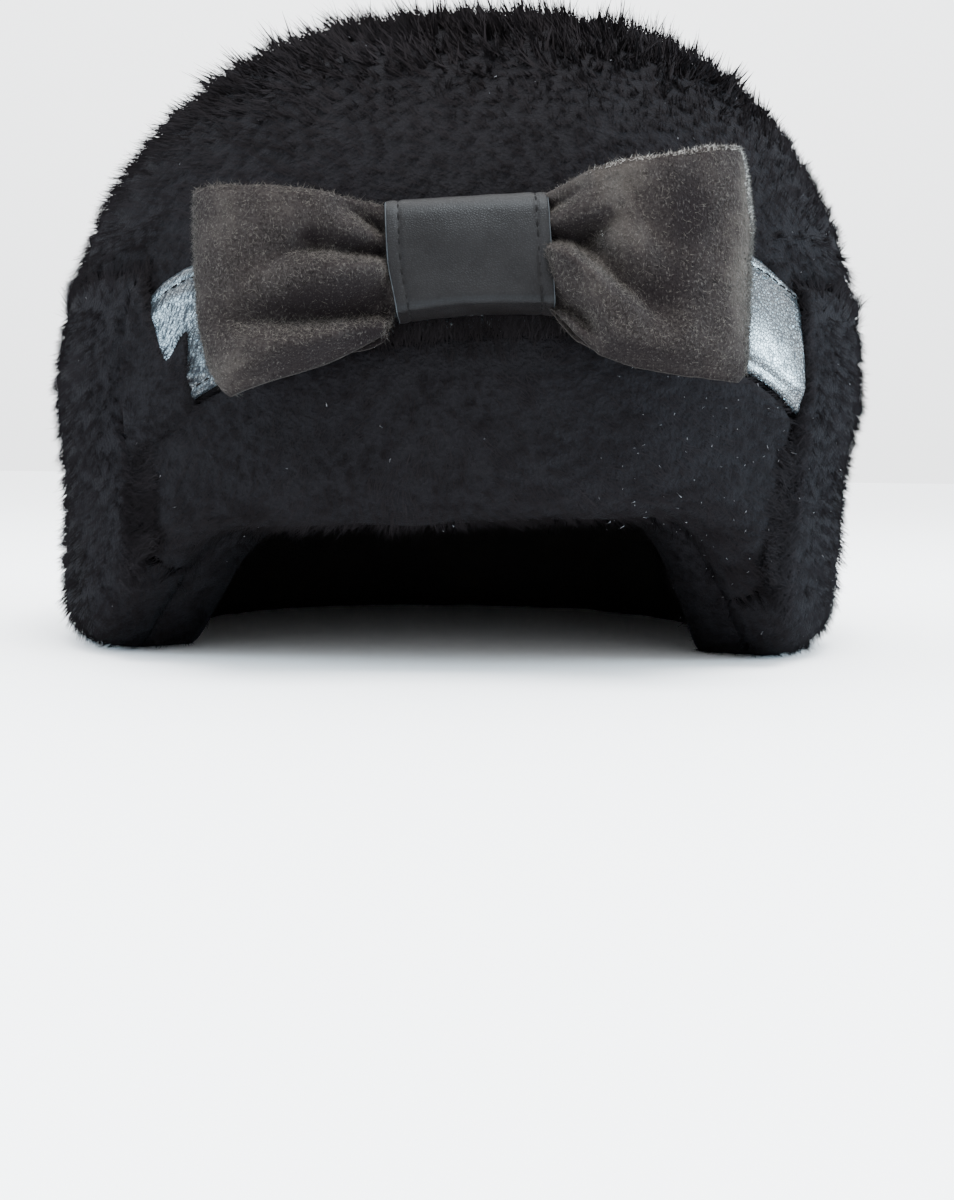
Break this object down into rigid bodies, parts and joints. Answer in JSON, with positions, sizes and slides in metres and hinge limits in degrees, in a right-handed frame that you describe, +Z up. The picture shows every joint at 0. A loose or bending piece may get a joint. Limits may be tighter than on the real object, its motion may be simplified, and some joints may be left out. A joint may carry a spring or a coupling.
{
  "type": "fur trooper hat with leather band and suede bow",
  "caption": "Round fur hat with turned-up fur flaps, a glossy leather band across the front and a puffed suede bow with a leather knot.",
  "frame": {"origin": "on the surface that the rim rests on, under the middle of the whole hat with its bow", "axes": "+Z up through the crown, -Y to the front with the bow, +X to the picture's right"},
  "size_m": [0.2342, 0.277, 0.1751],
  "materials": {
    "fur": "black sheared sheepskin fur, about 12 mm deep, with small pale lint",
    "gloss_leather": "black glazed leather, fine grain, stitched along both edges",
    "suede": "brown grey suede with a mottled nap",
    "matte_leather": "charcoal leather, satin, stitched along both side edges"
  },
  "bodies": {
    "root": {"crown": "fur", "front_flap": "fur", "side_back_flap": "fur", "band": "gloss_leather", "bow": "suede", "knot": "matte_leather"}
  },
  "joints": []
}
